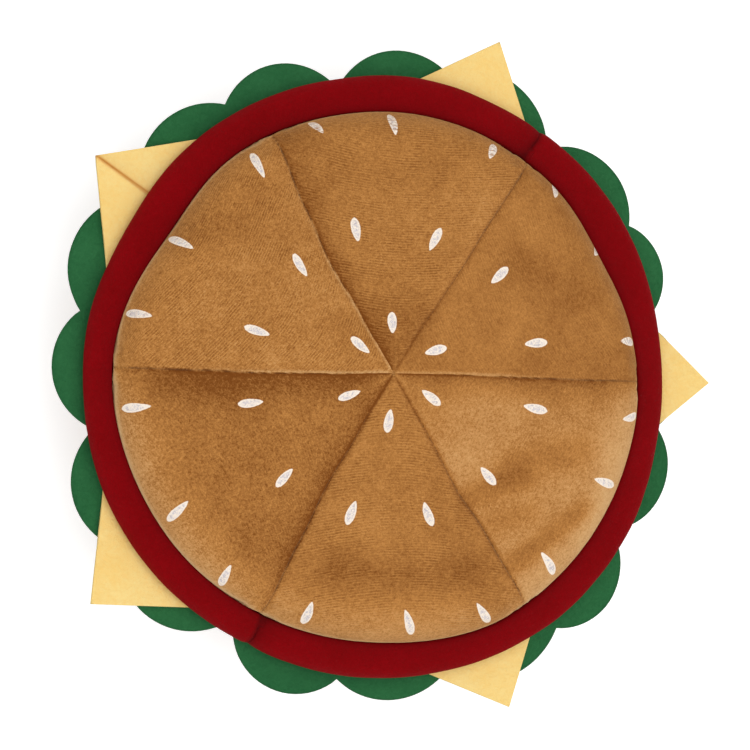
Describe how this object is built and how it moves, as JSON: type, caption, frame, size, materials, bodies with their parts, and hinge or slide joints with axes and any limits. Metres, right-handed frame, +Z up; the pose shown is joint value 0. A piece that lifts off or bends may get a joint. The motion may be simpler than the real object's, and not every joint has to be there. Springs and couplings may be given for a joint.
{
  "type": "burger-shaped plush hat",
  "caption": "Soft novelty hat shaped like a cheeseburger: padded velour crown with printed seeds over a red felt roll, yellow felt corners and a scalloped green frill.",
  "frame": {"origin": "middle of the head opening, on the surface the hat stands on", "axes": "+Z up out of the crown, +X to the right and +Y to the top of the picture"},
  "size_m": [0.326, 0.3171, 0.1164],
  "materials": {
    "bun_velour": "short-pile velour",
    "tomato_felt": "matte felt",
    "patty_felt": "matte felt",
    "cheese_felt": "matte felt",
    "lettuce_felt": "matte felt",
    "lining_cloth": "plain woven cotton",
    "sweatband_tape": "ribbed woven tape",
    "wadding": "loose polyester fibre"
  },
  "bodies": {
    "hat": {"crown_panel_1": "bun_velour", "crown_panel_2": "bun_velour", "crown_panel_3": "bun_velour", "crown_panel_4": "bun_velour", "crown_panel_5": "bun_velour", "crown_panel_6": "bun_velour", "heel_cover": "bun_velour", "base_ring": "bun_velour", "tomato_cover_left": "tomato_felt", "tomato_cover_right": "tomato_felt", "patty_cover_left": "patty_felt", "patty_cover_right": "patty_felt", "lettuce_frill": "lettuce_felt", "crown_lining": "lining_cloth", "sweatband": "sweatband_tape", "heel_wadding": "wadding", "patty_wadding": "wadding", "tomato_wadding": "wadding", "crown_padding": "wadding"},
    "cheese_flap_1": {"cheese_corner_1": "cheese_felt"},
    "cheese_flap_2": {"cheese_corner_2": "cheese_felt"},
    "cheese_flap_3": {"cheese_corner_3": "cheese_felt"},
    "cheese_flap_4": {"cheese_corner_4": "cheese_felt"},
    "cheese_flap_5": {"cheese_corner_5": "cheese_felt"}
  },
  "joints": [
    {"name": "cheese_fold_1", "type": "hinge", "parent": "hat", "child": "cheese_flap_1", "pos_m": [0.14098, -0.00221, 0.0651], "axis": [-0.0157, -0.9999, 0], "range_deg": [-10, 40], "stiffness_Nm_per_rad": 0.002},
    {"name": "cheese_fold_2", "type": "hinge", "parent": "hat", "child": "cheese_flap_2", "pos_m": [0.05259, 0.13082, 0.0651], "axis": [0.9278, -0.373, 0], "range_deg": [-10, 40], "stiffness_Nm_per_rad": 0.002},
    {"name": "cheese_fold_3", "type": "hinge", "parent": "hat", "child": "cheese_flap_3", "pos_m": [-0.11096, 0.087, 0.0651], "axis": [0.617, 0.7869, 0], "range_deg": [-10, 40], "stiffness_Nm_per_rad": 0.002},
    {"name": "cheese_fold_4", "type": "hinge", "parent": "hat", "child": "cheese_flap_4", "pos_m": [-0.11081, -0.0872, 0.0651], "axis": [-0.6184, 0.7859, 0], "range_deg": [-10, 40], "stiffness_Nm_per_rad": 0.002},
    {"name": "cheese_fold_5", "type": "hinge", "parent": "hat", "child": "cheese_flap_5", "pos_m": [0.05668, -0.12911, 0.0651], "axis": [-0.9157, -0.4019, 0], "range_deg": [-10, 40], "stiffness_Nm_per_rad": 0.002}
  ]
}
